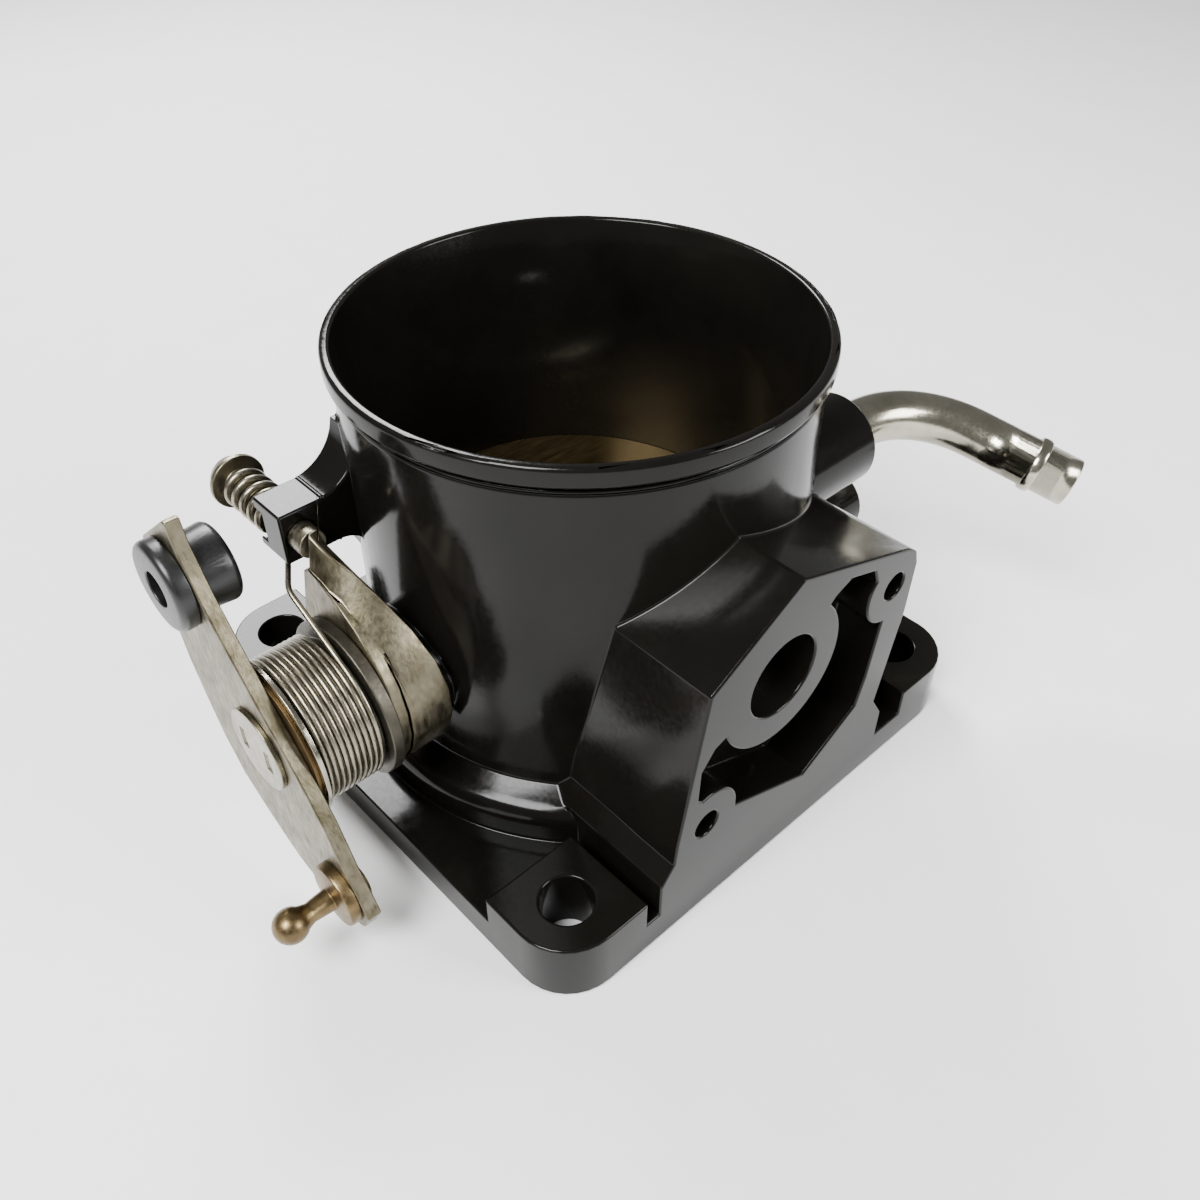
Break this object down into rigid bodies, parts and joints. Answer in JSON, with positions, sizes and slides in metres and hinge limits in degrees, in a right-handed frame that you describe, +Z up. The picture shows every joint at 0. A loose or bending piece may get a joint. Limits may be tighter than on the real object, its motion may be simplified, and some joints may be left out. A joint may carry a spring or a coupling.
{
  "type": "throttle body",
  "caption": "Air throttle with a round bore on a square flange, a butterfly plate on a cross shaft, a sprung lever with an adjustable stop, an idle-air pad and a hose tube.",
  "frame": {"origin": "centre of the flange's bottom face, on the bore axis", "axes": "+Z up the bore to the inlet, X along the throttle shaft with the lever on -X, the idle-air pad on -Y"},
  "size_m": [0.1599, 0.1099, 0.0825],
  "materials": {
    "housing_black": "gloss",
    "bronze": "satin",
    "seal_rubber": "matte",
    "shaft_steel": "machined",
    "plate_brass": "satin",
    "plated_steel": "satin",
    "dark_steel": "satin",
    "spring_steel": "drawn wire",
    "bright_plate": "bright",
    "grommet_black": "satin",
    "brown_steel": "satin"
  },
  "bodies": {
    "root": {"housing": "housing_black", "lever_bush": "bronze", "sensor_bush": "bronze", "lever_seal": "seal_rubber", "sensor_seal": "seal_rubber", "return_spring": "spring_steel", "lock_spring": "spring_steel", "hose_tube": "bright_plate"},
    "throttle": {"throttle_shaft": "shaft_steel", "throttle_plate": "plate_brass", "plate_screws": "plated_steel", "thrust_washer": "plated_steel", "stop_lever": "plated_steel", "spring_guide": "dark_steel", "spring_washer": "bright_plate", "hub_washer": "bronze", "throttle_lever": "plated_steel", "cable_grommet": "grommet_black", "ball_stud": "brown_steel", "shaft_clip": "dark_steel", "clip_washer": "plated_steel"},
    "adjuster": {"stop_screw": "plated_steel"}
  },
  "joints": [
    {"name": "throttle_turn", "type": "hinge", "parent": "root", "child": "throttle", "pos_m": [0, 0, 0.0333], "axis": [1, 0, 0], "range_deg": [0, 84], "stiffness_Nm_per_rad": 0.15, "springref_deg": -114.59, "deforming": ["return_spring"]},
    {"name": "stop_adjust", "type": "slide", "parent": "root", "child": "adjuster", "axis": [0, 1, 0], "range_m": [0, 0.003], "deforming": ["lock_spring"]}
  ]
}
